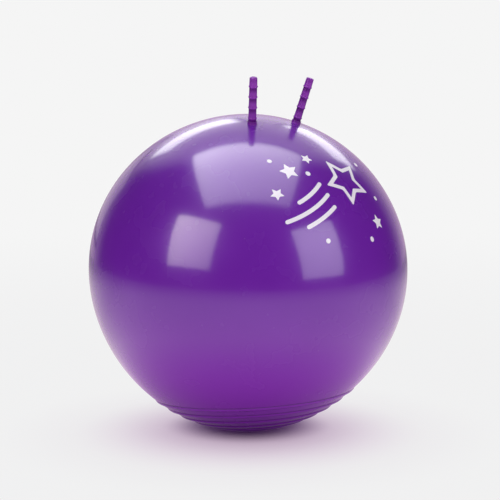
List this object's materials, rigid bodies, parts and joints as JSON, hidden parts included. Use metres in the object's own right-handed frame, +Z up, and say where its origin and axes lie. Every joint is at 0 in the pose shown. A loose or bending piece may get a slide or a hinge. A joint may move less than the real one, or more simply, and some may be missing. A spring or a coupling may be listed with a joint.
{
  "type": "hopper ball",
  "caption": "Inflated ride-on hopper ball with slim ribbed horns to hold, raised rings round its base and a push-in valve.",
  "frame": {"origin": "on the floor, under the middle of the ball, in the flat that the ball rests on", "axes": "+Z up, -Y to the front, +X to the left of a rider who looks to the front"},
  "size_m": [0.6, 0.5999, 0.6651],
  "materials": {
    "gloss_vinyl": "glossy violet vinyl",
    "horn_vinyl": "satin violet vinyl",
    "white_vinyl": "satin white vinyl"
  },
  "bodies": {
    "ball": {"ball_shell": "gloss_vinyl", "left_horn_collar": "horn_vinyl", "right_horn_collar": "horn_vinyl", "valve_seat": "gloss_vinyl"},
    "left_horn": {"left_horn": "horn_vinyl"},
    "right_horn": {"right_horn": "horn_vinyl"},
    "valve_plug": {"valve_plug": "white_vinyl"}
  },
  "joints": [
    {"name": "left_horn_flex", "type": "hinge", "parent": "ball", "child": "left_horn", "pos_m": [0.05053, -0.08576, 0.59005], "axis": [1, 0, 0], "range_deg": [-20, 20], "stiffness_Nm_per_rad": 0.5},
    {"name": "right_horn_flex", "type": "hinge", "parent": "ball", "child": "right_horn", "pos_m": [-0.05053, -0.08576, 0.59005], "axis": [1, 0, 0], "range_deg": [-20, 20], "stiffness_Nm_per_rad": 0.5},
    {"name": "valve_plug_pull", "type": "slide", "parent": "ball", "child": "valve_plug", "axis": [0, 0.9397, 0.342], "range_m": [0, 0.025]}
  ]
}
